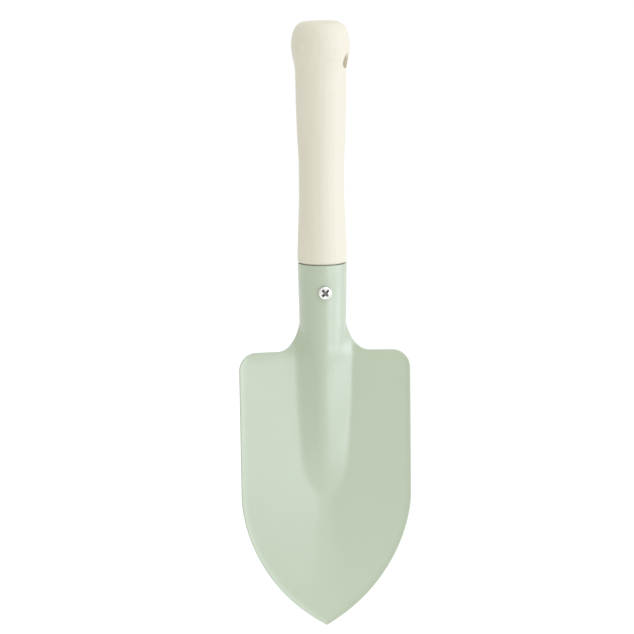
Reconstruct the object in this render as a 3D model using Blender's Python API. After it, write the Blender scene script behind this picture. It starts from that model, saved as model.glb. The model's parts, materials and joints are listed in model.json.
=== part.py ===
"""Hand trowel: a pressed-steel blade with a rolled socket, a turned wooden handle and their screw.

Run it with: blender --background --python part.py

Metres, +Z up. The tool hangs from the hole under its knob, and the origin is that hole's centre, on the
handle's axis. The hollow side of the blade, the raised rib and the screw face -Y. The seam of the socket
is at the back, +Y.
"""

import math

import bpy
import numpy as np
from mathutils import Matrix, Quaternion, Vector

# Shared sizes.
SHEET = 0.0012
GAP = 0.0003

# Heights along the handle's axis.
KNOB_TOP = 0.0180
HANDLE_END = -0.0919
MOUTH = -0.0923
TENON_END = -0.1152
SEAM_END = -0.1097
NECK = -0.1203
SHOULDER = -0.1328
SIDE_END = -0.1990
TIP = -0.2620

# Blade outline, seen from the front.
HALF_WIDTH = 0.0396
HALF_WIDTH_LOW = 0.03945
CORNER_RADIUS = 0.0080
FILLET_END = 0.0215
# The curve from the straight side to the tip: how far its two pull points are from its ends, and half the
# angle of the point.
SIDE_PULL = 0.0147
TIP_PULL = 0.0354
TIP_HALF_ANGLE = math.radians(60.5)

# Back edge of the sheet, as a distance along the sheet from its centre line.
SEAM_GAP = 0.0005
NECK_STRIP = 0.0166
# Pull points of that edge's two curves, round the end of the seam and into the shoulder.
SEAM_END_PULL_HEIGHT = -0.1162
NECK_PULL = (0.0178, -0.1143)
FILLET_PULL_TOP = (0.0162, -0.1272)
FILLET_PULL_END = (0.0174, SHOULDER)

# Handle and its holes.
TOP_FLAT_RADIUS = 0.0065
HOLE_RADIUS = 0.00325
HOLE_HEADING = math.radians(65.0)
TENON_RADIUS_TOP = 0.00975
TENON_RADIUS_END = 0.00932
TENON_CHAMFER = 0.0010
PILOT_RADIUS = 0.0021
PILOT_END = 0.0026

# Screw.
SCREW_HEIGHT = -0.1048
HEAD_RADIUS = 0.0030
HEAD_HEIGHT = 0.0019
HEAD_SEAT = 0.01134
HEAD_SIDE = 0.0009
SHANK_LENGTH = 0.0130
CORE_RADIUS = 0.00115
THREAD_RADIUS = 0.00175
THREAD_PITCH = 0.0016
POINT_LENGTH = 0.0030
# Share of the radius left at the very point, and of the pitch taken up by half the ridge.
POINT_SHARE = 0.15
RIDGE_HALF_SHARE = 0.25
# Below 1 this makes the top of the head flatter than an ellipse.
HEAD_ROUNDING = 0.8
RECESS_HALF_LENGTH = 0.00185
RECESS_HALF_WIDTH = 0.00048
RECESS_DEPTH = 0.0012
RECESS_TURN = math.radians(43.0)
# Length of the recess at its floor and at its top, as shares of its nominal length.
RECESS_FLOOR_SHARE = 0.55
RECESS_TOP_SHARE = 1.1

# Ends of the cutters: clear of the piece in front, and inside the socket.
CUTTER_REACH = 0.0200
SCREW_HOLE_END = -0.0050

# Mesh density.
SHARP_ANGLE = math.radians(40.0)
FORM_STEPS = 64
SEARCH_STEPS = 200
COLUMNS = 12
SEAM_POINTS = 6
CURVE_POINTS = 7
SHOULDER_POINTS = 3
CORNER_POINTS = 5
SIDE_POINTS = 10
LOW_CURVE_POINTS = 14
HANDLE_SIDES = 28
HANDLE_RINGS = 28
CUTTER_SIDES = 24
SCREW_SIDES = 12
HEAD_RINGS = 4
THREAD_ROWS = 4

# How far above its end a row of the sheet starts, at the centre line: at the end of the seam, the neck, the
# shoulder and the corner. Below the corner the rows run level again after LEVELLING_ROWS more.
SEAM_ROW_RISE = 0.0042
NECK_ROW_RISE = 0.0006
SHOULDER_ROW_RISE = -0.0022
CORNER_ROW_RISE = -0.0052
LEVELLING_ROWS = 6
# Above 1 this keeps a row level near the centre line and bends it towards its end.
ROW_BEND = 2.2
# A distance along the sheet that is past its edge everywhere.
WIDEST_SHEET = 0.050

# Turned profile of the handle from the edge of the flat top down to the shoulder: height, radius.
HANDLE_PROFILE = (
    (KNOB_TOP, TOP_FLAT_RADIUS),
    (0.0177, 0.0082),
    (0.0165, 0.0104),
    (0.0140, 0.0121),
    (0.0108, 0.0131),
    (0.0068, 0.0135),
    (0.0025, 0.0129),
    (-0.0015, 0.0120),
    (-0.0060, 0.0116),
    (-0.0160, 0.0115),
    (-0.0340, 0.0110),
    (-0.0480, 0.0104),
    (-0.0600, 0.0104),
    (-0.0730, 0.0108),
    (-0.0840, 0.0112),
    (-0.0913, 0.0114),
    (HANDLE_END, 0.0108),
)

# Forming of the sheet. Each list gives a height and a value, with a smooth run between.
# Radius of the round crest, at the middle of the sheet.
CREST_RADIUS = (
    (MOUTH, 0.01067),
    (-0.1070, 0.01040),
    (-0.1170, 0.01022),
    (-0.1275, 0.00960),
    (-0.1390, 0.00830),
    (-0.1570, 0.00870),
    (-0.1710, 0.01250),
    (-0.1920, 0.02000),
)
# Steepest angle of the sheet on either side of the crest, in degrees. 180 is a closed tube.
FLANK_ANGLE = (
    (SEAM_END, 180.0),
    (-0.1155, 128.0),
    (-0.1198, 84.0),
    (-0.1258, 55.0),
    (-0.1300, 42.0),
    (-0.1345, 34.5),
    (-0.1400, 30.5),
    (-0.1570, 23.5),
    (-0.1710, 17.0),
    (-0.1830, 9.5),
    (-0.1920, 4.0),
    (-0.2000, 0.0),
)
# Distance along the sheet from its centre line to the middle of the bend at the foot of the rib.
BEND_PLACE = (
    (SEAM_END, 0.0360),
    (-0.1200, 0.0250),
    (-0.1260, 0.0190),
    (-0.1320, 0.0152),
    (-0.1390, 0.0135),
    (-0.1570, 0.0124),
    (-0.1710, 0.0113),
    (-0.1830, 0.0104),
    (-0.1920, 0.0084),
    (-0.1965, 0.0060),
    (-0.2000, 0.0037),
    (-0.2040, 0.0030),
    (-0.2220, 0.0046),
    (-0.2400, 0.0060),
)
# Length of sheet taken up by that bend.
BEND_LENGTH = (
    (-0.1390, 0.0042),
    (-0.2000, 0.0044),
    (-0.2040, 0.0055),
    (-0.2220, 0.0092),
    (-0.2400, 0.0120),
)
# Forward slope of the two wings, in degrees.
WING_ANGLE = (
    (-0.1230, 0.0),
    (-0.1310, 4.6),
    (-0.1400, 7.2),
    (-0.1570, 7.5),
    (-0.1800, 7.5),
    (-0.2000, 7.0),
    (-0.2220, 5.5),
    (-0.2400, 4.0),
    (-0.2600, 2.0),
)
# Distance of the sheet's centre line in front of the handle's axis, on the socket and the neck.
CREST_FORWARD = (
    (MOUTH, 0.01067),
    (-0.1070, 0.01040),
    (-0.1170, 0.01022),
    (-0.1310, 0.01020),
    (-0.1400, 0.01002),
)
# On the blade the wings are placed instead, and the crest follows: distance in front of the axis of the
# line where the planes of the two wings would meet.
WING_FORWARD = (
    (-0.1300, 0.00205),
    (-0.1400, 0.00250),
    (-0.1560, 0.00328),
    (-0.1800, 0.00443),
    (-0.2040, 0.00570),
    (-0.2200, 0.00637),
    (-0.2400, 0.00690),
    (-0.2620, 0.00740),
)
# Heights between which the one rule gives way to the other, and a place well out on the wing.
WINGS_FROM = -0.1290
WINGS_BY = -0.1380
WING_PLACE = 0.030

# Colour, roughness and metallic value of each piece.
SAGE_COATING = ((0.58, 0.65, 0.52), 0.42, 0.0)
PALE_WOOD = ((0.84, 0.80, 0.68), 0.55, 0.0)
BRIGHT_STEEL = ((0.78, 0.78, 0.76), 0.22, 1.0)


def clear_scene():
    for old in list(bpy.data.objects):
        bpy.data.objects.remove(old, do_unlink=True)


def make_material(name, finish):
    colour, roughness, metallic = finish
    material = bpy.data.materials.new(name)
    material.use_nodes = True
    shader = material.node_tree.nodes["Principled BSDF"]
    shader.inputs["Base Color"].default_value = (*colour, 1.0)
    shader.inputs["Roughness"].default_value = roughness
    shader.inputs["Metallic"].default_value = metallic
    return material


def add_object(name, points, faces, material=None):
    mesh = bpy.data.meshes.new(name)
    mesh.from_pydata([tuple(point) for point in points], [], faces)
    mesh.shade_smooth()
    mesh.set_sharp_from_angle(angle=SHARP_ANGLE)
    made = bpy.data.objects.new(name, mesh)
    bpy.context.scene.collection.objects.link(made)
    if material:
        mesh.materials.append(material)
    return made


def smooth_value(stations, at):
    """The value at each height in at, on a smooth curve through the stations that never overshoots them."""
    place, value = (np.array(column) for column in zip(*sorted(stations)))
    step = np.diff(place)
    rate = np.diff(value) / step
    before = rate[:-1]
    after = rate[1:]
    same_way = before * after > 0
    total = np.where(same_way, before + after, 1.0)
    inner = np.where(same_way, 2 * before * after / total, 0.0)
    slope = np.concatenate([rate[:1], inner, rate[-1:]])
    at = np.clip(at, place[0], place[-1])
    i = np.clip(np.searchsorted(place, at) - 1, 0, len(step) - 1)
    t = (at - place[i]) / step[i]
    near = value[i] * (1 + 2 * t) * (1 - t) ** 2 + slope[i] * step[i] * t * (1 - t) ** 2
    far = value[i + 1] * t * t * (3 - 2 * t) + slope[i + 1] * step[i] * t * t * (t - 1)
    return near + far


def section(along, height):
    """(x, y) on a cross-section of the sheet, measured from its crest, at a distance along it.

    From the centre line the sheet turns back round the crest, runs straight down the flank of the rib and
    bends out into the wing. Its direction is summed in short steps from the centre line outwards.
    """
    radius = smooth_value(CREST_RADIUS, height)[:, None]
    flank = np.radians(smooth_value(FLANK_ANGLE, height))[:, None]
    bend = smooth_value(BEND_PLACE, height)[:, None]
    length = smooth_value(BEND_LENGTH, height)[:, None]
    wing = np.radians(smooth_value(WING_ANGLE, height))[:, None]
    arc = along[:, None] * (np.arange(FORM_STEPS) + 0.5) / FORM_STEPS
    rise = np.minimum(arc / radius, flank)
    share = np.clip((arc - bend) / length + 0.5, 0.0, 1.0)
    share = share * share * (3 - 2 * share)
    direction = rise - (rise + wing) * share
    return along * np.cos(direction).mean(axis=1), along * np.sin(direction).mean(axis=1)


def form_sheet(along, height):
    """(x, y) of points at a distance along the sheet from its centre line, at the given heights."""
    x, y = section(along, height)
    wing_x, wing_y = section(np.full_like(height, WING_PLACE), height)
    crest_over_wings = wing_y + wing_x * np.tan(np.radians(smooth_value(WING_ANGLE, height)))
    by_wings = smooth_value(WING_FORWARD, height) + crest_over_wings
    share = np.clip((WINGS_FROM - height) / (WINGS_FROM - WINGS_BY), 0.0, 1.0)
    share = share * share * (3 - 2 * share)
    crest = smooth_value(CREST_FORWARD, height)
    return x, y - (crest + (by_wings - crest) * share)


def distance_along(x, height):
    """Distance along the sheet, from its centre line, of the point that is x to the side."""
    tries = np.linspace(0.0, WIDEST_SHEET, SEARCH_STEPS + 1)
    sides, _ = form_sheet(tries, np.full_like(tries, height))
    return float(np.interp(x, sides, tries))


def bezier(corners, count):
    """count points of a cubic curve after its first, each a pair."""
    start, pull_start, pull_end, end = (np.array(corner) for corner in corners)
    points = []
    for k in range(1, count + 1):
        t = k / count
        u = 1 - t
        curve = start * u**3 + 3 * pull_start * t * u * u + 3 * pull_end * t * t * u + end * t**3
        points.append(tuple(curve))
    return points


def back_edge():
    """Edge of the sheet beside the seam, round the end of the seam and down the neck to the shoulder."""
    heights = np.linspace(MOUTH, SEAM_END, SEAM_POINTS)
    seam = math.pi * smooth_value(CREST_RADIUS, heights) - SEAM_GAP / 2
    edge = list(zip(seam, heights))
    tab = seam[-1]
    neck = (NECK_STRIP, NECK)
    round_seam_end = ((tab, SEAM_END), (tab, SEAM_END_PULL_HEIGHT), NECK_PULL, neck)
    edge += bezier(round_seam_end, CURVE_POINTS)
    fillet_end = distance_along(FILLET_END, SHOULDER)
    fillet = (neck, FILLET_PULL_TOP, FILLET_PULL_END, (fillet_end, SHOULDER))
    return edge + bezier(fillet, CURVE_POINTS)


def blade_edge():
    """Outline of one half of the blade from the fillet at its shoulder to the tip, as (x, height)."""
    corner_x = HALF_WIDTH - CORNER_RADIUS
    corner_height = SHOULDER - CORNER_RADIUS
    edge = [(x, SHOULDER) for x in np.linspace(FILLET_END, corner_x, SHOULDER_POINTS + 1)[1:]]
    for turn in np.linspace(0.0, math.pi / 2, CORNER_POINTS + 1)[1:]:
        x = corner_x + CORNER_RADIUS * math.sin(turn)
        edge.append((x, corner_height + CORNER_RADIUS * math.cos(turn)))
    shares = np.linspace(0.0, 1.0, SIDE_POINTS + 1)[1:]
    side_heights = corner_height + (SIDE_END - corner_height) * shares
    edge += list(zip(HALF_WIDTH + (HALF_WIDTH_LOW - HALF_WIDTH) * shares, side_heights))
    side = (HALF_WIDTH_LOW, SIDE_END)
    side_pull = (HALF_WIDTH_LOW, SIDE_END - SIDE_PULL)
    tip_pull = (TIP_PULL * math.sin(TIP_HALF_ANGLE), TIP + TIP_PULL * math.cos(TIP_HALF_ANGLE))
    return edge + bezier((side, side_pull, tip_pull, (0.0, TIP)), LOW_CURVE_POINTS)


def sheet_rows():
    """One (distance along, height) list for each row of the sheet, from its centre line to its edge.

    Each row starts level at the centre line and runs up or down to its end, so that it meets the level
    edges, those of the socket at its seam and of the blade at its shoulder, at an angle.
    """
    edge = back_edge()
    shoulder_row = len(edge) - 1
    edge += [(distance_along(x, height), height) for x, height in blade_edge()]
    seam_row = shoulder_row - 2 * CURVE_POINTS
    neck_row = shoulder_row - CURVE_POINTS
    corner_row = shoulder_row + SHOULDER_POINTS + CORNER_POINTS
    level_row = corner_row + LEVELLING_ROWS
    starts = (
        (0.0, MOUTH),
        (float(seam_row), SEAM_END + SEAM_ROW_RISE),
        (float(neck_row), NECK + NECK_ROW_RISE),
        (float(shoulder_row), SHOULDER + SHOULDER_ROW_RISE),
        (float(corner_row), edge[corner_row][1] + CORNER_ROW_RISE),
        (float(level_row), edge[level_row][1]),
    )
    shares = np.linspace(0.0, 1.0, COLUMNS + 1)
    rows = []
    for number, (along, height) in enumerate(edge):
        start = height
        if number < level_row:
            start = float(smooth_value(starts, np.array([float(number)]))[0])
        heights = start + (height - start) * shares**ROW_BEND
        rows.append(np.stack([along * shares, heights], axis=1))
    return rows


def make_blade(material):
    """The whole sheet as one grid, thickened to the gauge of the steel, with the screw's hole."""
    points = []
    faces = []
    width = 2 * COLUMNS + 1
    rows = sheet_rows()
    for row in rows[:-1]:
        x, y = form_sheet(row[:, 0], row[:, 1])
        right = list(zip(x, y, row[:, 1]))
        left = [(-px, py, pz) for px, py, pz in right[:0:-1]]
        points += left + right
    for number in range(len(rows) - 2):
        for column in range(width - 1):
            here = number * width + column
            faces.append((here, here + width, here + width + 1, here + 1))
    tip_x, tip_y = form_sheet(rows[-1][:1, 0], rows[-1][:1, 1])
    points.append((tip_x[0], tip_y[0], rows[-1][0, 1]))
    last_row = (len(rows) - 2) * width
    for column in range(width - 1):
        faces.append((last_row + column, len(points) - 1, last_row + column + 1))
    blade = add_object("blade_with_socket", points, faces, material)
    solid = blade.modifiers.new("gauge", "SOLIDIFY")
    solid.thickness = SHEET
    solid.offset = 0.0
    cut(blade, "screw_hole", screw_hole_cutter())
    return blade


def ring(radius, height, angles):
    return [(radius * math.cos(angle), radius * math.sin(angle), height) for angle in angles]


def even_angles(sides):
    return [2 * math.pi * k / sides for k in range(sides)]


def stacked_solid(name, rings, top, material=None):
    """Closed solid through rings of points about Z, from the highest down.

    A fan closes each end: the upper one rises to the height top, and the lower one is level.
    """
    sides = len(rings[0])
    points = [(0.0, 0.0, top)]
    for points_of_ring in rings:
        points += points_of_ring
    bottom = len(points)
    points.append((0.0, 0.0, rings[-1][0][2]))
    faces = []
    for k in range(sides):
        follow = (k + 1) % sides
        faces.append((0, 1 + k, 1 + follow))
        for number in range(len(rings) - 1):
            upper = 1 + number * sides
            lower = upper + sides
            faces.append((upper + k, lower + k, lower + follow, upper + follow))
        faces.append((bottom, bottom - sides + follow, bottom - sides + k))
    return add_object(name, points, faces, material)


def turned_solid(name, profile, sides, material=None):
    """Solid of revolution about Z from a (height, radius) profile that runs down from its top."""
    angles = even_angles(sides)
    rings = [ring(radius, height, angles) for height, radius in profile]
    return stacked_solid(name, rings, profile[0][0], material)


def curve_through(profile, count):
    """count points along a smooth curve through the profile's points, evenly spaced along it."""
    steps = [math.dist(a, b) for a, b in zip(profile, profile[1:])]
    run = np.concatenate([[0.0], np.cumsum(steps)])
    at = np.linspace(0.0, run[-1], count)
    heights = smooth_value(list(zip(run, (point[0] for point in profile))), at)
    radii = smooth_value(list(zip(run, (point[1] for point in profile))), at)
    return list(zip(heights, radii))


def helper(made):
    made.hide_render = True
    made.display_type = "WIRE"
    return made


def cut(target, name, cutter):
    modifier = target.modifiers.new(name, "BOOLEAN")
    modifier.operation = "DIFFERENCE"
    modifier.solver = "EXACT"
    modifier.object = cutter


def rod_cutter(name, radius, start, end):
    """A round cutter between two points.

    It is turned by half a side, so that none of its corners lands on the centre line of the piece it cuts.
    """
    start = Vector(start)
    end = Vector(end)
    length = (end - start).length
    cutter = turned_solid(name, ((length / 2, radius), (-length / 2, radius)), CUTTER_SIDES)
    cutter.rotation_mode = "QUATERNION"
    half_side = Quaternion((0.0, 0.0, 1.0), math.pi / CUTTER_SIDES)
    cutter.rotation_quaternion = (end - start).to_track_quat("Z", "Y") @ half_side
    cutter.location = (start + end) / 2
    return helper(cutter)


def screw_hole_cutter():
    front = (0.0, -CUTTER_REACH, SCREW_HEIGHT)
    inside = (0.0, SCREW_HOLE_END, SCREW_HEIGHT)
    return rod_cutter("screw_hole_cutter", THREAD_RADIUS + GAP, front, inside)


def make_handle(material):
    """The turned handle with its tenon, the cross-drilled hanging hole and the pilot hole of the screw."""
    profile = curve_through(HANDLE_PROFILE, HANDLE_RINGS)
    profile.append((HANDLE_END, TENON_RADIUS_TOP))
    profile.append((TENON_END + TENON_CHAMFER, TENON_RADIUS_END))
    profile.append((TENON_END, TENON_RADIUS_END - TENON_CHAMFER))
    handle = turned_solid("handle", profile, HANDLE_SIDES, material)
    across = Vector((math.sin(HOLE_HEADING), -math.cos(HOLE_HEADING), 0.0)) * CUTTER_REACH
    cut(handle, "hanging_hole", rod_cutter("hanging_hole_cutter", HOLE_RADIUS, -across, across))
    front = (0.0, -CUTTER_REACH, SCREW_HEIGHT)
    end = (0.0, PILOT_END, SCREW_HEIGHT)
    cut(handle, "pilot_hole", rod_cutter("pilot_hole_cutter", PILOT_RADIUS, front, end))
    return handle


def cross_outline(half_length, height):
    """Corners of a cross with arms of the recess's width, anticlockwise."""
    points = []
    corners = (
        (half_length, -RECESS_HALF_WIDTH),
        (half_length, RECESS_HALF_WIDTH),
        (RECESS_HALF_WIDTH, RECESS_HALF_WIDTH),
    )
    for quarter in range(4):
        turn = Matrix.Rotation(RECESS_TURN + quarter * math.pi / 2, 3, "Z")
        points += [tuple(turn @ Vector((x, y, height))) for x, y in corners]
    return points


def recess_cutter():
    """The cross recess, narrower at its floor, centred on the top of the head."""
    top = cross_outline(RECESS_HALF_LENGTH * RECESS_TOP_SHARE, RECESS_DEPTH)
    floor = cross_outline(RECESS_HALF_LENGTH * RECESS_FLOOR_SHARE, -RECESS_DEPTH)
    return helper(stacked_solid("recess_cutter", [top, floor], RECESS_DEPTH))


def screw_profile_radius(depth, turn):
    """Radius of the threaded shank at a depth under the head and an angle about its axis."""
    phase = (depth / THREAD_PITCH - turn / (2 * math.pi)) % 1.0
    ridge = max(0.0, 1.0 - abs(phase - 0.5) / RIDGE_HALF_SHARE)
    to_point = min(1.0, (SHANK_LENGTH - depth) / POINT_LENGTH)
    return (CORE_RADIUS + (THREAD_RADIUS - CORE_RADIUS) * ridge) * max(POINT_SHARE, to_point)


def make_screw(material):
    """Pan head, cross recess and a threaded, pointed shank, made about Z and laid along +Y."""
    quarter_turn = math.pi / 2
    angles = even_angles(SCREW_SIDES)
    dome = HEAD_HEIGHT - HEAD_SIDE
    rings = []
    for k in range(1, HEAD_RINGS + 1):
        turn = quarter_turn * k / HEAD_RINGS
        radius = HEAD_RADIUS * math.sin(turn) ** HEAD_ROUNDING
        rings.append(ring(radius, HEAD_SIDE + dome * math.cos(turn), angles))
    rings.append(ring(HEAD_RADIUS, 0.0, angles))
    rows = int(SHANK_LENGTH / THREAD_PITCH * THREAD_ROWS) + 1
    for k in range(rows + 1):
        depth = SHANK_LENGTH * k / rows
        rings.append([ring(screw_profile_radius(depth, angle), -depth, [angle])[0] for angle in angles])
    screw = stacked_solid("socket_screw", rings, HEAD_HEIGHT, material)
    screw.location = (0.0, -HEAD_SEAT, SCREW_HEIGHT)
    screw.rotation_euler = (quarter_turn, 0.0, 0.0)
    cutter = recess_cutter()
    cutter.parent = screw
    cutter.location = (0.0, 0.0, HEAD_HEIGHT)
    cut(screw, "cross_recess", cutter)
    return screw


def main():
    clear_scene()
    coating = make_material("sage_coating", SAGE_COATING)
    wood = make_material("pale_wood", PALE_WOOD)
    steel = make_material("bright_steel", BRIGHT_STEEL)
    make_blade(coating)
    make_handle(wood)
    make_screw(steel)


main()
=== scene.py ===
"""Looks of the hand trowel: fine meshes of its three pieces, their materials, the light and the camera.

Metres, in the frame of the CAD model: +Z up the handle, -Y the front, the origin in the hanging hole.
"""

import json
import math

import bpy
import numpy as np
from mathutils import Matrix, Quaternion, Vector


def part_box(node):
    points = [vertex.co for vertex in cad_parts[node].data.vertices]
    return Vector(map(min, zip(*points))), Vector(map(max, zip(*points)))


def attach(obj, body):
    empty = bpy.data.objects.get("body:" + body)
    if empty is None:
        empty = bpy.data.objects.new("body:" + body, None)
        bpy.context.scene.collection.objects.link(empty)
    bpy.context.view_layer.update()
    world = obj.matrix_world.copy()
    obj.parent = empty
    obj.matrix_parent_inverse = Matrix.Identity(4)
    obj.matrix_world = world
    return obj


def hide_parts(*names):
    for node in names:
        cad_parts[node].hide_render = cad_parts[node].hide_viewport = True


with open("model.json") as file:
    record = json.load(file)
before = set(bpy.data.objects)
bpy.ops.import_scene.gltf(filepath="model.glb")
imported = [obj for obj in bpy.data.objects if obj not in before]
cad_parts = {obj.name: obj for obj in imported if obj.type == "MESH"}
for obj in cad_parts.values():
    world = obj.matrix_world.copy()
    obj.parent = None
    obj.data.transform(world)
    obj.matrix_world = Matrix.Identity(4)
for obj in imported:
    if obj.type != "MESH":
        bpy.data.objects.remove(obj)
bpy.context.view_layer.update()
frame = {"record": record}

BLADE_LOW, BLADE_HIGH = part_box("blade_with_socket")
HANDLE_LOW, HANDLE_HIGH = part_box("handle")
SCREW_LOW, SCREW_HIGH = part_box("socket_screw")
MOUNTS = {mount["name"]: mount for mount in frame["record"]["mounts"]}

# Sizes shared with the CAD model.
SHEET = 0.0012
MOUTH = BLADE_HIGH.z
TIP = BLADE_LOW.z
KNOB_TOP = HANDLE_HIGH.z
KNOB_RADIUS = HANDLE_HIGH.x
TENON_END = HANDLE_LOW.z
SCREW_HEIGHT = (SCREW_LOW.z + SCREW_HIGH.z) / 2
HEAD_RADIUS = (SCREW_HIGH.z - SCREW_LOW.z) / 2
SCREW_END = SCREW_HIGH.y
HOLE_AXIS = Vector(MOUNTS["hanging_hole"]["axis"]).normalized()
HANDLE_END = -0.0919
SEAM_END = -0.1097
NECK = -0.1203
SHOULDER = -0.1328
SIDE_END = -0.1990
HALF_WIDTH = 0.0396
HALF_WIDTH_LOW = 0.03945
CORNER_RADIUS = 0.0080
FILLET_END = 0.0215
# The curve from the straight side to the tip: how far its two pull points are from its ends, and half the
# angle of the point.
SIDE_PULL = 0.0147
TIP_PULL = 0.0354
TIP_HALF_ANGLE = math.radians(60.5)
# Back edge of the sheet, as a distance along the sheet from its centre line, with the pull points of its
# curves.
SEAM_GAP = 0.0005
NECK_STRIP = 0.0166
SEAM_END_PULL_HEIGHT = -0.1162
NECK_PULL = (0.0178, -0.1143)
FILLET_PULL_TOP = (0.0162, -0.1272)
FILLET_PULL_END = (0.0174, SHOULDER)
# The handle's holes and its tenon.
HOLE_RADIUS = 0.00325
TENON_RADIUS_TOP = 0.00975
TENON_RADIUS_END = 0.00932
TENON_CHAMFER = 0.0010
PILOT_RADIUS = 0.0021
PILOT_END = 0.0026
SCREW_HOLE_RADIUS = 0.00205
CUTTER_REACH = 0.0200
SCREW_HOLE_END = -0.0050

# Finish of the sheet: the round of its edges, the forward turn of its rim, the dimple at the screw. The turn
# starts a little above the shoulder and grows to its full rise over LIP_GROWTH.
EDGE_ROUND = 0.00048
LIP_WIDTH = 0.0030
LIP_RISE = 0.00035
LIP_START = 0.0040
LIP_GROWTH = 0.0080
DIMPLE_DEPTH = 0.00042
DIMPLE_RADIUS = 0.0060

# Round edge of the hanging hole, its widest angle, and how far from the axis the wood's surface is there.
HOLE_FLARE = 0.0006
FLARE_TURN = math.pi / 4
SURFACE_AT_HOLE = 0.0124

# Screw.
HEAD_HEIGHT = 0.0019
HEAD_SIDE = 0.0008
HEAD_EDGE = 0.00012
# Below 1 this makes the top of the head flatter than an ellipse.
HEAD_ROUNDING = 0.8
CORE_RADIUS = 0.00115
THREAD_RADIUS = 0.00175
THREAD_PITCH = 0.0016
POINT_LENGTH = 0.0030
# Share of the radius left at the very point, and of the pitch taken up by half the ridge.
POINT_SHARE = 0.12
RIDGE_HALF_SHARE = 0.25
RECESS_HALF_LENGTH = 0.00235
RECESS_HALF_WIDTH = 0.00062
RECESS_DEPTH = 0.0016
# Length of the recess at its floor, as a share of its length at the top.
RECESS_FLOOR_SHARE = 0.45
RECESS_TURN = math.radians(43.0)

# Mesh density.
FORM_STEPS = 64
SEARCH_STEPS = 200
INNER_COLUMNS = 46
SEAM_POINTS = 32
CURVE_POINTS = 38
SHOULDER_POINTS = 20
CORNER_POINTS = 24
SIDE_POINTS = 54
LOW_CURVE_POINTS = 98
# Above 1 this closes up the rows towards the tip.
TIP_EASE = 1.3
HANDLE_SIDES = 144
HANDLE_RINGS = 230
TOP_RINGS = 8
FLARE_STEPS = 8
CUTTER_SIDES = 96
SCREW_SIDES = 64
HEAD_RINGS = 14
THREAD_ROWS = 14
SHARP_ANGLE = math.radians(38.0)
SMALLEST_LENGTH = 1e-12

# How far above its end a row of the sheet starts at the centre line, as in the CAD model.
SEAM_ROW_RISE = 0.0042
NECK_ROW_RISE = 0.0006
SHOULDER_ROW_RISE = -0.0022
CORNER_ROW_RISE = -0.0052
LEVELLING_LENGTH = 0.0330
ROW_BEND = 2.2
WIDEST_SHEET = 0.050
# Distances from an edge at which the mesh has a line, so that the edge's round is smooth.
EDGE_LINES = (0.0, 0.00004, 0.00010, 0.00018, 0.00030, 0.00045, 0.00070, 0.0011, 0.0016, 0.0023)

# Turned profile of the handle from the edge of the flat top down to the shoulder: height, radius.
HANDLE_PROFILE = (
    (KNOB_TOP, 0.0065),
    (0.0177, 0.0082),
    (0.0165, 0.0104),
    (0.0140, 0.0121),
    (0.0108, 0.0130),
    (0.0068, KNOB_RADIUS),
    (0.0025, 0.0129),
    (-0.0015, 0.0120),
    (-0.0060, 0.0116),
    (-0.0160, 0.0115),
    (-0.0340, 0.0110),
    (-0.0480, 0.0104),
    (-0.0600, 0.0104),
    (-0.0730, 0.0108),
    (-0.0840, 0.0112),
    (-0.0910, 0.01135),
    (-0.0916, 0.0112),
    (HANDLE_END, 0.0108),
)

# Forming of the sheet. Each list gives a height and a value, with a smooth run between.
# Radius of the round crest, at the middle of the sheet.
CREST_RADIUS = (
    (MOUTH, 0.01067),
    (-0.1070, 0.01040),
    (-0.1170, 0.01022),
    (-0.1275, 0.00960),
    (-0.1390, 0.00830),
    (-0.1570, 0.00870),
    (-0.1710, 0.01250),
    (-0.1920, 0.02000),
)
# Steepest angle of the sheet on either side of the crest, in degrees. 180 is a closed tube.
FLANK_ANGLE = (
    (SEAM_END, 180.0),
    (-0.1155, 128.0),
    (-0.1198, 84.0),
    (-0.1258, 55.0),
    (-0.1300, 42.0),
    (-0.1345, 34.5),
    (-0.1400, 30.5),
    (-0.1570, 23.5),
    (-0.1710, 17.0),
    (-0.1830, 9.5),
    (-0.1920, 4.0),
    (-0.2000, 0.0),
)
# Distance along the sheet from its centre line to the middle of the bend at the foot of the rib.
BEND_PLACE = (
    (SEAM_END, 0.0360),
    (-0.1200, 0.0250),
    (-0.1260, 0.0190),
    (-0.1320, 0.0152),
    (-0.1390, 0.0135),
    (-0.1570, 0.0124),
    (-0.1710, 0.0113),
    (-0.1830, 0.0104),
    (-0.1920, 0.0084),
    (-0.1965, 0.0060),
    (-0.2000, 0.0037),
    (-0.2040, 0.0030),
    (-0.2220, 0.0046),
    (-0.2400, 0.0060),
)
# Length of sheet taken up by that bend.
BEND_LENGTH = (
    (-0.1390, 0.0042),
    (-0.2000, 0.0044),
    (-0.2040, 0.0055),
    (-0.2220, 0.0092),
    (-0.2400, 0.0120),
)
# Forward slope of the two wings, in degrees.
WING_ANGLE = (
    (-0.1230, 0.0),
    (-0.1310, 4.6),
    (-0.1400, 7.2),
    (-0.1570, 7.5),
    (-0.1800, 7.5),
    (-0.2000, 7.0),
    (-0.2220, 5.5),
    (-0.2400, 4.0),
    (-0.2600, 2.0),
)
# Distance of the sheet's centre line in front of the handle's axis, on the socket and the neck.
CREST_FORWARD = (
    (MOUTH, 0.01067),
    (-0.1070, 0.01040),
    (-0.1170, 0.01022),
    (-0.1310, 0.01020),
    (-0.1400, 0.01002),
)
# On the blade the wings are placed instead, and the crest follows: distance in front of the axis of the
# line where the planes of the two wings would meet.
WING_FORWARD = (
    (-0.1300, 0.00205),
    (-0.1400, 0.00250),
    (-0.1560, 0.00328),
    (-0.1800, 0.00443),
    (-0.2040, 0.00570),
    (-0.2200, 0.00637),
    (-0.2400, 0.00690),
    (-0.2620, 0.00740),
)
# Heights between which the one rule gives way to the other, and a place well out on the wing.
WINGS_FROM = -0.1290
WINGS_BY = -0.1380
WING_PLACE = 0.030

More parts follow.
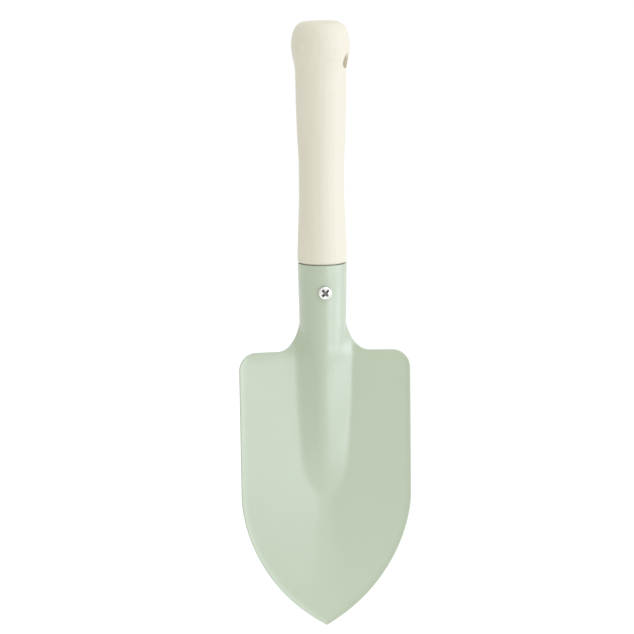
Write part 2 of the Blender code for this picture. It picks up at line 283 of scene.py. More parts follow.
# Camera and light.
CAMERA_AZIMUTH = math.radians(-6.2)
CAMERA_ELEVATION = math.radians(9.5)
CAMERA_ROLL = math.radians(-0.50)
CAMERA_DISTANCE = 1.25
VIEW_HEIGHT = -0.1177
VIEW_SIDEWAYS = -0.00262
VIEW_WIDTH = 0.2919
SENSOR = 36.0
CLIP_START = 0.05
CLIP_END = 100.0
WORLD_LIGHT = 1.02
# The softboxes: power, width, colour, and place from the middle of the view.
SOFTBOXES = (
    ("key", 38.0, 2.6, (0.94, 0.97, 1.24), (3.40, -1.10, 0.55)),
    ("fill", 13.0, 1.4, (0.97, 0.97, 1.10), (1.60, -2.76, 0.06)),
    ("top", 28.0, 3.4, (1.0, 1.0, 1.12), (0.90, -0.60, 2.80)),
)
FLOOR_DROP = 0.45
FLOOR_RADIUS = 30.0
FLOOR_SIDES = 96
FLOOR_COLOUR = (0.99, 0.99, 0.99, 1.0)
FLOOR_ROUGHNESS = 0.9
WHITE = (1.0, 1.0, 1.0, 1.0)

# Coating: its colours, then the sizes of its details and the depth of its orange peel.
SAGE = (0.303, 0.370, 0.241, 1.0)
SAGE_PALE = (0.312, 0.379, 0.250, 1.0)
SAGE_EDGE = (0.265, 0.332, 0.212, 1.0)
CLOUD_SIZE = 0.018
SPECK_SIZE = 0.00035
SPECK_SHARE = 0.10
WORN_WIDTH = 0.00045
WORN_SHARE = 0.55
WORN_PATCH_SIZE = 0.004
WORN_PATCH_LEAST = 0.4
SHEEN_SIZE = 0.006
SHEEN_RANGE = (0.36, 0.44)
PEEL_SIZE = 0.0011
GRIT_SIZE = 0.00030
GRIT_SHARE = 0.25
PEEL_DEPTH = 0.000010

# Wood: its colours, the growth rings, the fibres and the pores. A stretch below 1 draws a pattern out along
# the grain.
WOOD = (0.582, 0.562, 0.454, 1.0)
WOOD_LATE = (0.570, 0.540, 0.427, 1.0)
WOOD_PORE = (0.560, 0.508, 0.384, 1.0)
WOOD_RAW = (0.720, 0.660, 0.510, 1.0)
RING_CENTRE = (0.021, 0.017, 0.0)
RING_WIDTH = 0.0021
RING_SLANT = (1.0, 1.0, 0.035)
WOBBLE_SIZE = 0.020
WOBBLE_STRETCH = (1.0, 1.0, 0.18)
WOBBLE_REACH = 0.0034
LATE_SHARE = 0.55
LATE_FROM = 0.35
FIBRE_SIZE = 0.0011
FIBRE_STRETCH = (1.0, 1.0, 0.045)
FIBRE_SHARE = 0.22
FIBRE_RANGE = (0.45, 0.75)
PORE_SIZE = 0.00042
PORE_STRETCH = (1.0, 1.0, 0.10)
PORE_SHARE = 0.5
PORE_RANGE = (0.66, 0.74)
PORE_HEIGHT = -1.2
GRAIN_DEPTH = 0.000014
WOOD_SHEEN = (0.44, 0.56)
# In the hanging hole the wood is bare: the strip over which the coat gives way to it, and its share.
BARE_FROM = 0.00002
BARE_TO = 0.00025
BARE_SHARE = 0.85

# Screw: its colours, its marks, the painted shade in its recess, and the depths below its face between which
# that painted shade deepens.
STEEL = (0.74, 0.73, 0.70, 1.0)
STEEL_PALE = (0.82, 0.81, 0.78, 1.0)
RECESS_PAINTED_SHADE = (0.035, 0.030, 0.024, 1.0)
MARK_SIZE = 0.00045
MARK_DEPTH = 0.000003
STEEL_SHEEN = (0.20, 0.34)
RECESS_SHADE_FROM = 0.0005
RECESS_SHADE_BY = 0.0014
RECESS_SHADE_SHARE = 0.8
RECESS_SHADE_EDGE = 0.0004
HEAD_UNDERSIDE = 0.0001


def mesh_object(name, points, faces, material):
    mesh = bpy.data.meshes.new(name)
    mesh.from_pydata([tuple(point) for point in points], [], faces)
    mesh.materials.append(material)
    made = bpy.data.objects.new(name, mesh)
    bpy.context.scene.collection.objects.link(made)
    return made


def finish_mesh(piece):
    """Applies the modifiers, removes the cutters and shades the piece smooth between its sharp edges."""
    cutters = [modifier.object for modifier in piece.modifiers]
    graph = bpy.context.evaluated_depsgraph_get()
    mesh = bpy.data.meshes.new_from_object(piece.evaluated_get(graph))
    piece.modifiers.clear()
    piece.data = mesh
    mesh.name = piece.name
    mesh.shade_smooth()
    mesh.set_sharp_from_angle(angle=SHARP_ANGLE)
    for cutter in cutters:
        bpy.data.objects.remove(cutter, do_unlink=True)


def cut(target, cutter):
    modifier = target.modifiers.new(cutter.name, "BOOLEAN")
    modifier.operation = "DIFFERENCE"
    modifier.solver = "EXACT"
    modifier.object = cutter
    cutter.hide_render = True


def smooth_value(stations, at):
    """The value at each height in at, on a smooth curve through the stations that never overshoots them."""
    place, value = (np.array(column) for column in zip(*sorted(stations)))
    step = np.diff(place)
    rate = np.diff(value) / step
    before = rate[:-1]
    after = rate[1:]
    same_way = before * after > 0
    total = np.where(same_way, before + after, 1.0)
    inner = np.where(same_way, 2 * before * after / total, 0.0)
    slope = np.concatenate([rate[:1], inner, rate[-1:]])
    at = np.clip(at, place[0], place[-1])
    i = np.clip(np.searchsorted(place, at) - 1, 0, len(step) - 1)
    t = (at - place[i]) / step[i]
    near = value[i] * (1 + 2 * t) * (1 - t) ** 2 + slope[i] * step[i] * t * (1 - t) ** 2
    far = value[i + 1] * t * t * (3 - 2 * t) + slope[i + 1] * step[i] * t * t * (t - 1)
    return near + far


def section(along, height):
    """(x, y) on a cross-section of the sheet, measured from its crest, at a distance along it.

    From the centre line the sheet turns back round the crest, runs straight down the flank of the rib and
    bends out into the wing. Its direction is summed in short steps from the centre line outwards.
    """
    radius = smooth_value(CREST_RADIUS, height)[:, None]
    flank = np.radians(smooth_value(FLANK_ANGLE, height))[:, None]
    bend = smooth_value(BEND_PLACE, height)[:, None]
    length = smooth_value(BEND_LENGTH, height)[:, None]
    wing = np.radians(smooth_value(WING_ANGLE, height))[:, None]
    arc = along[:, None] * (np.arange(FORM_STEPS) + 0.5) / FORM_STEPS
    rise = np.minimum(arc / radius, flank)
    share = np.clip((arc - bend) / length + 0.5, 0.0, 1.0)
    share = share * share * (3 - 2 * share)
    direction = rise - (rise + wing) * share
    return along * np.cos(direction).mean(axis=1), along * np.sin(direction).mean(axis=1)


def form_sheet(along, height):
    """(x, y) of points at a distance along the sheet from its centre line, at the given heights."""
    x, y = section(along, height)
    wing_x, wing_y = section(np.full_like(height, WING_PLACE), height)
    crest_over_wings = wing_y + wing_x * np.tan(np.radians(smooth_value(WING_ANGLE, height)))
    by_wings = smooth_value(WING_FORWARD, height) + crest_over_wings
    share = np.clip((WINGS_FROM - height) / (WINGS_FROM - WINGS_BY), 0.0, 1.0)
    share = share * share * (3 - 2 * share)
    crest = smooth_value(CREST_FORWARD, height)
    return x, y - (crest + (by_wings - crest) * share)


def distance_along(x, height):
    """Distance along the sheet, from its centre line, of the point that is x to the side."""
    tries = np.linspace(0.0, WIDEST_SHEET, SEARCH_STEPS + 1)
    sides, _ = form_sheet(tries, np.full_like(tries, height))
    return float(np.interp(x, sides, tries))


def bezier(corners, count, ease=1.0):
    """count points of a cubic curve after its first, each a pair.

    An ease above 1 closes them up at its end.
    """
    start, pull_start, pull_end, end = (np.array(corner) for corner in corners)
    points = []
    for k in range(1, count + 1):
        u = (1 - k / count) ** ease
        t = 1 - u
        curve = start * u**3 + 3 * pull_start * t * u * u + 3 * pull_end * t * t * u + end * t**3
        points.append(tuple(curve))
    return points


def curve_through(profile, count):
    """count points along a smooth curve through the profile's points, evenly spaced along it."""
    steps = [math.dist(a, b) for a, b in zip(profile, profile[1:])]
    run = np.concatenate([[0.0], np.cumsum(steps)])
    at = np.linspace(0.0, run[-1], count)
    heights = smooth_value(list(zip(run, (point[0] for point in profile))), at)
    radii = smooth_value(list(zip(run, (point[1] for point in profile))), at)
    return list(zip(heights, radii))


def back_edge():
    """Edge of the sheet beside the seam, round the end of the seam and down the neck to the shoulder."""
    even = np.linspace(MOUTH - EDGE_LINES[-1], SEAM_END, SEAM_POINTS)
    heights = np.concatenate([MOUTH - np.array(EDGE_LINES[:-1]), even])
    seam = math.pi * smooth_value(CREST_RADIUS, heights) - SEAM_GAP / 2
    edge = list(zip(seam, heights))
    seam_row = len(edge) - 1
    tab = seam[-1]
    neck = (NECK_STRIP, NECK)
    round_seam_end = ((tab, SEAM_END), (tab, SEAM_END_PULL_HEIGHT), NECK_PULL, neck)
    edge += bezier(round_seam_end, CURVE_POINTS)
    fillet_end = distance_along(FILLET_END, SHOULDER)
    fillet = (neck, FILLET_PULL_TOP, FILLET_PULL_END, (fillet_end, SHOULDER))
    return edge + bezier(fillet, CURVE_POINTS), seam_row


def blade_edge():
    """Outline of one half of the blade from the fillet at its shoulder to the tip, as (x, height)."""
    corner_x = HALF_WIDTH - CORNER_RADIUS
    corner_height = SHOULDER - CORNER_RADIUS
    edge = [(x, SHOULDER) for x in np.linspace(FILLET_END, corner_x, SHOULDER_POINTS + 1)[1:]]
    for turn in np.linspace(0.0, math.pi / 2, CORNER_POINTS + 1)[1:]:
        x = corner_x + CORNER_RADIUS * math.sin(turn)
        edge.append((x, corner_height + CORNER_RADIUS * math.cos(turn)))
    shares = np.linspace(0.0, 1.0, SIDE_POINTS + 1)[1:]
    side_heights = corner_height + (SIDE_END - corner_height) * shares
    edge += list(zip(HALF_WIDTH + (HALF_WIDTH_LOW - HALF_WIDTH) * shares, side_heights))
    side = (HALF_WIDTH_LOW, SIDE_END)
    side_pull = (HALF_WIDTH_LOW, SIDE_END - SIDE_PULL)
    tip_pull = (TIP_PULL * math.sin(TIP_HALF_ANGLE), TIP + TIP_PULL * math.cos(TIP_HALF_ANGLE))
    return edge + bezier((side, side_pull, tip_pull, (0.0, TIP)), LOW_CURVE_POINTS, TIP_EASE)


def sheet_rows():
    """(distance along, height) of every point of one half of the sheet, row by row, and its outline.

    A row runs from the centre line to the edge. Its last lines keep fixed distances from the edge.
    """
    edge, seam_row = back_edge()
    shoulder_row = len(edge) - 1
    neck_row = shoulder_row - CURVE_POINTS
    edge += [(distance_along(x, height), height) for x, height in blade_edge()]
    corner_row = shoulder_row + SHOULDER_POINTS + CORNER_POINTS
    edge = np.array(edge)
    run = np.concatenate([[0.0], np.cumsum(np.hypot(*np.diff(edge, axis=0).T))])
    level_run = run[corner_row] + LEVELLING_LENGTH
    level_height = float(np.interp(level_run, run, edge[:, 1]))
    starts = (
        (0.0, MOUTH),
        (run[seam_row], SEAM_END + SEAM_ROW_RISE),
        (run[neck_row], NECK + NECK_ROW_RISE),
        (run[shoulder_row], SHOULDER + SHOULDER_ROW_RISE),
        (run[corner_row], edge[corner_row, 1] + CORNER_ROW_RISE),
        (level_run, level_height),
    )
    start = np.where(run < level_run, smooth_value(starts, run), edge[:, 1])
    rows = []
    for (along, height), first in zip(edge[:-1], start[:-1]):
        scale = min(1.0, along / 2 / EDGE_LINES[-1])
        margin = np.array(EDGE_LINES[::-1]) * scale
        places = np.concatenate([np.linspace(0.0, along - margin[0], INNER_COLUMNS), along - margin[1:]])
        rows.append(np.stack([places, first + (height - first) * (places / along) ** ROW_BEND], axis=1))
    return np.array(rows), edge


def distance_to_edge(points, edge):
    """Distance in the flat sheet from each point to its outline or to the socket's mouth."""
    flat = points.reshape(-1, 2)
    least = MOUTH - flat[:, 1]
    for a, b in zip(edge, edge[1:]):
        span = b - a
        share = np.clip(((flat - a) @ span) / (span @ span), 0.0, 1.0)
        least = np.minimum(least, np.linalg.norm(flat - a - share[:, None] * span, axis=1))
    return least.reshape(points.shape[:2])


def make_blade(material):
    """The sheet as two skins that meet in a round edge, closed by one point at the tip."""
    rows, edge = sheet_rows()
    near = distance_to_edge(rows, edge)
    x, y = form_sheet(rows[:, :, 0].ravel(), rows[:, :, 1].ravel())
    half = np.stack([x, y, rows[:, :, 1].ravel()], axis=1).reshape(*rows.shape[:2], 3)
    mirrored = half[:, :0:-1] * np.array([-1.0, 1.0, 1.0])
    middle = np.concatenate([mirrored, half], axis=1)
    near = np.concatenate([near[:, :0:-1], near], axis=1)
    across = np.gradient(middle, axis=1)
    down = np.gradient(middle, axis=0)
    normal = np.cross(down, across)
    normal /= np.maximum(np.linalg.norm(normal, axis=2, keepdims=True), SMALLEST_LENGTH)
    flat_x = np.concatenate([-rows[:, :0:-1, 0], rows[:, :, 0]], axis=1)
    flat_z = np.concatenate([rows[:, :0:-1, 1], rows[:, :, 1]], axis=1)
    lip = LIP_RISE * np.clip(1.0 - near / LIP_WIDTH, 0.0, 1.0) ** 2
    lip *= np.clip((SHOULDER + LIP_START - flat_z) / LIP_GROWTH, 0.0, 1.0)
    dimple = np.exp(-(flat_x**2 + (flat_z - SCREW_HEIGHT) ** 2) / DIMPLE_RADIUS**2)
    middle = middle + normal * (lip - DIMPLE_DEPTH * dimple)[:, :, None]
    round_share = 1.0 - np.clip(near / EDGE_ROUND, 0.0, 1.0)
    thick = (SHEET / 2 * np.sqrt(1.0 - round_share**2))[:, :, None]
    front_skin = (middle + normal * thick).reshape(-1, 3)
    back_skin = (middle - normal * thick).reshape(-1, 3)
    count, width = middle.shape[:2]
    number = np.arange(count * width).reshape(count, width)
    rim = np.zeros((count, width), bool)
    rim[0] = True
    rim[:, 0] = True
    rim[:, -1] = True
    behind = number + count * width
    behind[rim] = number[rim]
    faces = []
    for row in range(count - 1):
        for column in range(width - 1):
            a, b = number[row, column], number[row, column + 1]
            c, d = number[row + 1, column + 1], number[row + 1, column]
            faces.append((a, d, c, b))
            a, b = behind[row, column], behind[row, column + 1]
            c, d = behind[row + 1, column + 1], behind[row + 1, column]
            faces.append((a, b, c, d))
    tip_x, tip_y = form_sheet(np.zeros(1), np.array([TIP]))
    points = np.concatenate([front_skin, back_skin, [(tip_x[0], tip_y[0], TIP)]])
    tip = len(points) - 1
    for column in range(width - 1):
        faces.append((number[-1, column], tip, number[-1, column + 1]))
        faces.append((behind[-1, column], behind[-1, column + 1], tip))
    used = np.zeros(len(points), bool)
    for face in faces:
        used[list(face)] = True
    renumber = np.cumsum(used) - 1
    faces = [tuple(int(renumber[k]) for k in face) for face in faces]
    blade = mesh_object("blade", points[used], faces, material)
    edge_near = np.concatenate([near.ravel(), near.ravel(), [0.0]])[used]
    layer = blade.data.attributes.new("edge_distance", "FLOAT", "POINT")
    layer.data.foreach_set("value", edge_near.astype(np.float32))
    front = (0, -CUTTER_REACH, SCREW_HEIGHT)
    inside = (0, SCREW_HOLE_END, SCREW_HEIGHT)
    cut(blade, rod("blade_cutter", SCREW_HOLE_RADIUS, front, inside))
    finish_mesh(blade)
    return blade


def ring(radius, height, angles):
    return [(radius * math.cos(angle), radius * math.sin(angle), height) for angle in angles]


def even_angles(sides):
    return [2 * math.pi * k / sides for k in range(sides)]


def stacked_solid(name, rings, top, material=None):
    """Closed solid through rings of points about Z, from the highest down, with a fan over each end."""
    sides = len(rings[0])
    points = [(0.0, 0.0, top)]
    for points_of_ring in rings:
        points += points_of_ring
    bottom = len(points)
    points.append((0.0, 0.0, rings[-1][0][2]))
    faces = []
    for k in range(sides):
        follow = (k + 1) % sides
        faces.append((0, 1 + k, 1 + follow))
        for number in range(len(rings) - 1):
            upper = 1 + number * sides
            lower = upper + sides
            faces.append((upper + k, lower + k, lower + follow, upper + follow))
        faces.append((bottom, bottom - sides + follow, bottom - sides + k))
    return mesh_object(name, points, faces, material)


def turned_solid(name, profile, sides, material=None):
    """Solid of revolution about Z from a (height, radius) profile that runs down from its top."""
    angles = even_angles(sides)
    rings = [ring(radius, height, angles) for height, radius in profile]
    return stacked_solid(name, rings, profile[0][0], material)


def lay(piece, start, end):
    """Lays a solid made about Z along the line from start to end, centred on it and turned half a side."""
    start, end = Vector(start), Vector(end)
    half_side = Quaternion((0.0, 0.0, 1.0), math.pi / CUTTER_SIDES)
    piece.rotation_mode = "QUATERNION"
    piece.rotation_quaternion = (end - start).to_track_quat("Z", "Y") @ half_side
    piece.location = (start + end) / 2
    return piece


def rod(name, radius, start, end):
    """A round cutter between two points."""
    length = (Vector(end) - Vector(start)).length
    made = turned_solid(name, ((length / 2, radius), (-length / 2, radius)), CUTTER_SIDES)
    return lay(made, start, end)


def flared_rod():
    """Cutter of the hanging hole: straight inside, flaring to a rounded edge where it leaves the wood."""
    profile = [(CUTTER_REACH, HOLE_RADIUS + CUTTER_REACH - SURFACE_AT_HOLE)]
    for k in range(FLARE_STEPS + 1):
        turn = FLARE_TURN * (1 - k / FLARE_STEPS)
        rise = HOLE_FLARE * math.sin(turn)
        radius = HOLE_RADIUS + HOLE_FLARE * (1 - math.cos(turn))
        profile.append((SURFACE_AT_HOLE - HOLE_FLARE + rise, radius))
    profile += [(-height, radius) for height, radius in reversed(profile)]
    cutter = turned_solid("hole_cutter", profile, CUTTER_SIDES)
    return lay(cutter, -HOLE_AXIS * CUTTER_REACH, HOLE_AXIS * CUTTER_REACH)


def make_handle(material):
    """The turned handle and its tenon, with the hanging hole and the screw's pilot hole."""
    top = [(KNOB_TOP, HANDLE_PROFILE[0][1] * k / TOP_RINGS) for k in range(1, TOP_RINGS)]
    profile = top + curve_through(HANDLE_PROFILE, HANDLE_RINGS)
    profile.append((HANDLE_END, (HANDLE_PROFILE[-1][1] + TENON_RADIUS_TOP) / 2))
    profile.append((HANDLE_END, TENON_RADIUS_TOP))
    profile.append((TENON_END + TENON_CHAMFER, TENON_RADIUS_END))
    profile.append((TENON_END, TENON_RADIUS_END - TENON_CHAMFER))
    handle = turned_solid("wooden_handle", profile, HANDLE_SIDES, material)
    cut(handle, flared_rod())
    front = (0, -CUTTER_REACH, SCREW_HEIGHT)
    end = (0, PILOT_END, SCREW_HEIGHT)
    cut(handle, rod("pilot_cutter", PILOT_RADIUS, front, end))
    finish_mesh(handle)
    return handle


def cross_outline(half_length, height):
    """Corners of a cross with arms of the recess's width, anticlockwise."""
    points = []
    corners = (
        (half_length, -RECESS_HALF_WIDTH),
        (half_length, RECESS_HALF_WIDTH),
        (RECESS_HALF_WIDTH, RECESS_HALF_WIDTH),
    )
    for quarter in range(4):
        turn = Matrix.Rotation(RECESS_TURN + quarter * math.pi / 2, 3, "Z")
        points += [tuple(turn @ Vector((x, y, height))) for x, y in corners]
    return points


def thread_radius(depth, length, turn):
    """Radius of a shank of this length at a depth under the head and an angle about its axis."""
    phase = (depth / THREAD_PITCH - turn / (2 * math.pi)) % 1.0
    ridge = max(0.0, 1.0 - abs(phase - 0.5) / RIDGE_HALF_SHARE)
    to_point = min(1.0, (length - depth) / POINT_LENGTH)
    return (CORE_RADIUS + (THREAD_RADIUS - CORE_RADIUS) * ridge) * max(POINT_SHARE, to_point)


def make_screw(material):
    """Pan head resting in the sheet's dimple, cross recess, threaded shank and point."""
    seat = SCREW_LOW.y + HEAD_HEIGHT + DIMPLE_DEPTH
    length = SCREW_END - seat
    angles = even_angles(SCREW_SIDES)
    dome = HEAD_HEIGHT - HEAD_SIDE
    rings = []
    for k in range(1, HEAD_RINGS + 1):
        turn = math.pi / 2 * k / HEAD_RINGS
        radius = HEAD_RADIUS * math.sin(turn) ** HEAD_ROUNDING
        rings.append(ring(radius, HEAD_SIDE + dome * math.cos(turn), angles))
    rings.append(ring(HEAD_RADIUS, HEAD_EDGE, angles))
    rings.append(ring(HEAD_RADIUS - HEAD_EDGE, 0.0, angles))
    rows = int(length / THREAD_PITCH * THREAD_ROWS) + 1
    for k in range(rows + 1):
        depth = length * k / rows
        rings.append([ring(thread_radius(depth, length, angle), -depth, [angle])[0] for angle in angles])
    screw = stacked_solid("pan_head_screw", rings, HEAD_HEIGHT, material)
    top = cross_outline(RECESS_HALF_LENGTH, HEAD_HEIGHT)
    floor = cross_outline(RECESS_HALF_LENGTH * RECESS_FLOOR_SHARE, HEAD_HEIGHT - RECESS_DEPTH)
    above = [(x, y, HEAD_HEIGHT * 2) for x, y, _ in top]
    cut(screw, stacked_solid("recess_cutter", [above, top, floor], HEAD_HEIGHT * 2))
    finish_mesh(screw)
    place = Matrix.Translation((0.0, seat, SCREW_HEIGHT)) @ Matrix.Rotation(math.pi / 2, 4, "X")
    screw.data.transform(place)
    return screw


def add(tree, kind, inputs=None, **settings):
    """A node with these settings. Its inputs are plain values, or sockets to link from."""
    made = tree.nodes.new(kind)
    for key, value in settings.items():
        setattr(made, key, value)
    for key, value in (inputs or {}).items():
        if isinstance(value, bpy.types.NodeSocket):
            tree.links.new(value, made.inputs[key])
        else:
            made.inputs[key].default_value = value
    return made


def new_material(name, **values):
    """A material with these values on its shader, whose socket names have _ for each space."""
    material = bpy.data.materials.new(name)
    material.use_nodes = True
    shader = material.node_tree.nodes["Principled BSDF"]
    for key, value in values.items():
        shader.inputs[key.replace("_", " ")].default_value = value
    return material, material.node_tree, shader


def noise(tree, coordinates, feature, detail=2.0, stretch=(1.0, 1.0, 1.0)):
    """Noise with features of this size in metres, before it is stretched."""
    scaled = add(tree, "ShaderNodeMapping", {"Vector": coordinates, "Scale": stretch})
    settings = {"Vector": scaled.outputs[0], "Scale": 1.0 / feature, "Detail": detail}
    return add(tree, "ShaderNodeTexNoise", settings).outputs["Fac"]


def between(tree, value, low, high, from_low=0.3, from_high=0.7):
    """value, spread from one range to another."""
    inputs = {"Value": value, "From Min": from_low, "From Max": from_high, "To Min": low, "To Max": high}
    return add(tree, "ShaderNodeMapRange", inputs).outputs[0]


def calculate(tree, operation, *values):
    inputs = dict(enumerate(values))
    return add(tree, "ShaderNodeMath", inputs, operation=operation).outputs[0]


def calculate_vector(tree, operation, output, *values):
    inputs = dict(enumerate(values))
    return add(tree, "ShaderNodeVectorMath", inputs, operation=operation).outputs[output]


def roughen(tree, shader, depth, height):
    """Tilts the shader's surface as if it had this height pattern, to a depth in metres."""
    bump = add(tree, "ShaderNodeBump", {"Strength": 1.0, "Distance": depth, "Height": height})
    tree.links.new(bump.outputs[0], shader.inputs["Normal"])


def mixed(tree, share, first, second):
    """The first colour, giving way to the second by this share."""
    made = add(tree, "ShaderNodeMix", data_type="RGBA")
    for socket, value in (("Factor_Float", share), ("A_Color", first), ("B_Color", second)):
        target = next(s for s in made.inputs if s.identifier == socket)
        if isinstance(value, bpy.types.NodeSocket):
            tree.links.new(value, target)
        else:
            target.default_value = value
    return next(s for s in made.outputs if s.identifier == "Result_Color")


def sage_coating():
    """Satin powder coat: fine orange peel, faint cloudiness, and thinner and darker on the sharp edges."""
    material, tree, shader = new_material(
        "sage_powder_coat",
        Roughness=0.40,
        Specular_IOR_Level=1.0,
        Coat_Weight=1.0,
        Coat_Roughness=0.39,
        Coat_IOR=1.75,
    )
    place = add(tree, "ShaderNodeTexCoord").outputs["Object"]
    cloud = noise(tree, place, CLOUD_SIZE, 3.0)
    speck = noise(tree, place, SPECK_SIZE, 2.0)
    colour = mixed(tree, between(tree, cloud, 0.0, 1.0), SAGE, SAGE_PALE)
    colour = mixed(tree, between(tree, speck, 0.0, SPECK_SHARE), colour, SAGE_EDGE)
    edge = add(tree, "ShaderNodeAttribute", attribute_name="edge_distance").outputs["Fac"]
    close = between(tree, edge, WORN_SHARE, 0.0, 0.0, WORN_WIDTH)
    patchy = between(tree, noise(tree, place, WORN_PATCH_SIZE, 2.0), WORN_PATCH_LEAST, 1.0)
    colour = mixed(tree, calculate(tree, "MULTIPLY", close, patchy), colour, SAGE_EDGE)
    tree.links.new(colour, shader.inputs["Base Color"])
    rough = between(tree, noise(tree, place, SHEEN_SIZE, 3.0), *SHEEN_RANGE)
    tree.links.new(rough, shader.inputs["Roughness"])
    peel = noise(tree, place, PEEL_SIZE, 1.0)
    grit = noise(tree, place, GRIT_SIZE, 1.0)
    roughen(tree, shader, PEEL_DEPTH, calculate(tree, "MULTIPLY_ADD", grit, GRIT_SHARE, peel))
    return material


def pale_wood():
    """Close-grained pale wood: growth rings cut by the turned surface, short pores, a thin satin coat."""
    material, tree, shader = new_material(
        "clear_coated_wood", Roughness=0.5, Coat_Weight=0.15, Coat_Roughness=0.35, Specular_IOR_Level=0.3
    )
    place = add(tree, "ShaderNodeTexCoord").outputs["Object"]
    wobble = noise(tree, place, WOBBLE_SIZE, 2.0, WOBBLE_STRETCH)
    from_centre = calculate_vector(tree, "SUBTRACT", "Vector", place, RING_CENTRE)
    across = calculate_vector(tree, "MULTIPLY", "Vector", from_centre, RING_SLANT)
    away = calculate_vector(tree, "LENGTH", "Value", across)
    away = calculate(tree, "MULTIPLY_ADD", wobble, WOBBLE_REACH, away)
    late = calculate(tree, "FRACT", calculate(tree, "DIVIDE", away, RING_WIDTH))
    late = between(tree, late, 0.0, LATE_SHARE, LATE_FROM, 1.0)
    colour = mixed(tree, late, WOOD, WOOD_LATE)
    fibre = noise(tree, place, FIBRE_SIZE, 3.0, FIBRE_STRETCH)
    colour = mixed(tree, between(tree, fibre, 0.0, FIBRE_SHARE, *FIBRE_RANGE), colour, WOOD_LATE)
    pore = noise(tree, place, PORE_SIZE, 1.0, PORE_STRETCH)
    pores = between(tree, pore, 0.0, PORE_SHARE, *PORE_RANGE)
    colour = mixed(tree, pores, colour, WOOD_PORE)
    off_axis = calculate_vector(tree, "CROSS_PRODUCT", "Vector", place, tuple(HOLE_AXIS))
    off_axis = calculate_vector(tree, "LENGTH", "Value", off_axis)
    bare = between(tree, off_axis, BARE_SHARE, 0.0, HOLE_RADIUS + BARE_FROM, HOLE_RADIUS + BARE_TO)
    colour = mixed(tree, bare, colour, WOOD_RAW)
    tree.links.new(colour, shader.inputs["Base Color"])
    tree.links.new(between(tree, fibre, *WOOD_SHEEN), shader.inputs["Roughness"])
    roughen(tree, shader, GRAIN_DEPTH, calculate(tree, "MULTIPLY_ADD", pores, PORE_HEIGHT, fibre))
    return material


def bright_steel():
    """Bright plated steel with faint tumbling marks, and painted shade down in the recess."""
    material, tree, shader = new_material("plated_steel", Metallic=1.0, Roughness=0.25)
    place = add(tree, "ShaderNodeTexCoord").outputs["Object"]
    marks = noise(tree, place, MARK_SIZE, 3.0)
    colour = mixed(tree, between(tree, marks, 0.0, 1.0), STEEL, STEEL_PALE)
    # Painted shade in the cross recess: darker with depth below the head's face, only on the head and within
    # the recess's reach.
    split = add(tree, "ShaderNodeSeparateXYZ", {"Vector": place}).outputs
    face = SCREW_LOW.y + DIMPLE_DEPTH
    shade_with_depth = between(tree, split["Y"], 0.0, RECESS_SHADE_SHARE, face + RECESS_SHADE_FROM, face + RECESS_SHADE_BY)
    underside = face + HEAD_HEIGHT
    head = between(tree, split["Y"], 1.0, 0.0, underside - HEAD_UNDERSIDE, underside)
    painted_shade = calculate(tree, "MULTIPLY", shade_with_depth, head)
    flat = add(tree, "ShaderNodeCombineXYZ", {"X": split["X"], "Z": split["Z"]}).outputs[0]
    radius = calculate_vector(tree, "DISTANCE", "Value", flat, (0.0, 0.0, SCREW_HEIGHT))
    inside = between(tree, radius, 1.0, 0.0, RECESS_HALF_LENGTH, RECESS_HALF_LENGTH + RECESS_SHADE_EDGE)
    painted_shade = calculate(tree, "MULTIPLY", painted_shade, inside)
    colour = mixed(tree, painted_shade, colour, RECESS_PAINTED_SHADE)
    tree.links.new(colour, shader.inputs["Base Color"])
    tree.links.new(between(tree, marks, *STEEL_SHEEN), shader.inputs["Roughness"])
    roughen(tree, shader, MARK_DEPTH, marks)
    return material


def make_floor():
    """A large round plain floor, well below the tool."""
    angles = even_angles(FLOOR_SIDES)
    height = TIP - FLOOR_DROP
    points = [(0.0, 0.0, height)] + ring(FLOOR_RADIUS, height, angles)
    faces = [(0, 1 + k, 1 + (k + 1) % FLOOR_SIDES) for k in range(FLOOR_SIDES)]
    material, _, _ = new_material("plain_floor", Base_Color=FLOOR_COLOUR, Roughness=FLOOR_ROUGHNESS)
    mesh_object("floor", points, faces, material)


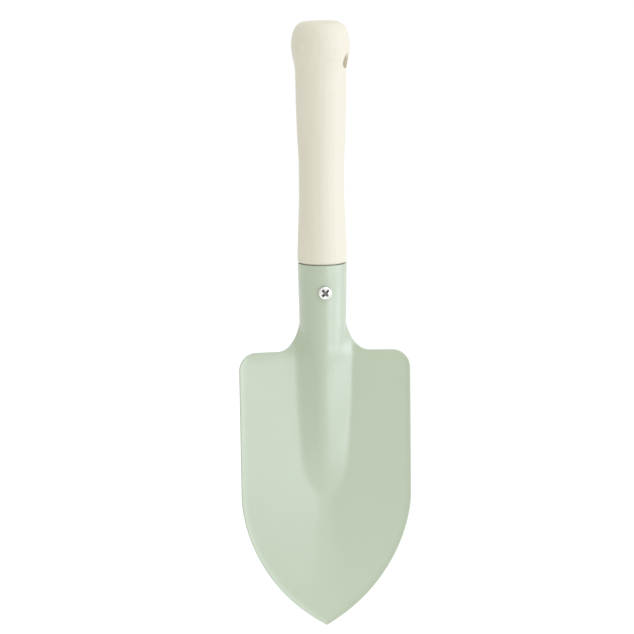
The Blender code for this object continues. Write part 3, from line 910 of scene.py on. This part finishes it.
def make_light():
    """An even pale surround, and the softboxes facing the middle of the view."""
    world = bpy.data.worlds.new("studio")
    world.use_nodes = True
    surround = world.node_tree.nodes["Background"]
    surround.inputs["Color"].default_value = WHITE
    surround.inputs["Strength"].default_value = WORLD_LIGHT
    bpy.context.scene.world = world
    target = Vector((0.0, 0.0, VIEW_HEIGHT))
    for name, power, width, colour, place in SOFTBOXES:
        lamp = bpy.data.lights.new(name, "AREA")
        lamp.shape = "DISK"
        lamp.size = width
        lamp.energy = power
        lamp.color = colour
        softbox = bpy.data.objects.new(name, lamp)
        bpy.context.scene.collection.objects.link(softbox)
        softbox.location = target + Vector(place)
        softbox.rotation_mode = "QUATERNION"
        softbox.rotation_quaternion = (target - softbox.location).to_track_quat("-Z", "Y")


def make_camera():
    lens = bpy.data.cameras.new("camera")
    lens.sensor_width = SENSOR
    lens.lens = SENSOR * CAMERA_DISTANCE / VIEW_WIDTH
    lens.clip_start = CLIP_START
    lens.clip_end = CLIP_END
    camera = bpy.data.objects.new("camera", lens)
    bpy.context.scene.collection.objects.link(camera)
    level = math.cos(CAMERA_ELEVATION)
    across = math.sin(CAMERA_AZIMUTH) * level
    forward = -math.cos(CAMERA_AZIMUTH) * level
    back = Vector((across, forward, math.sin(CAMERA_ELEVATION)))
    turn = (-back).to_track_quat("-Z", "Y")
    right = turn @ Vector((1.0, 0.0, 0.0))
    target = Vector((0.0, 0.0, VIEW_HEIGHT)) + right * VIEW_SIDEWAYS
    camera.rotation_mode = "QUATERNION"
    camera.location = target + back * CAMERA_DISTANCE
    camera.rotation_quaternion = turn @ Quaternion((0.0, 0.0, 1.0), CAMERA_ROLL)
    bpy.context.scene.camera = camera


def main():
    bpy.context.scene.view_settings.view_transform = "Standard"
    pieces = (
        (make_blade(sage_coating()), "blade_with_socket", "sage_coating"),
        (make_handle(pale_wood()), "handle", "pale_wood"),
        (make_screw(bright_steel()), "socket_screw", "bright_steel"),
    )
    for piece, node, slot in pieces:
        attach(piece, "root")
        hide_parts(node)
    make_floor()
    make_light()
    make_camera()


main()
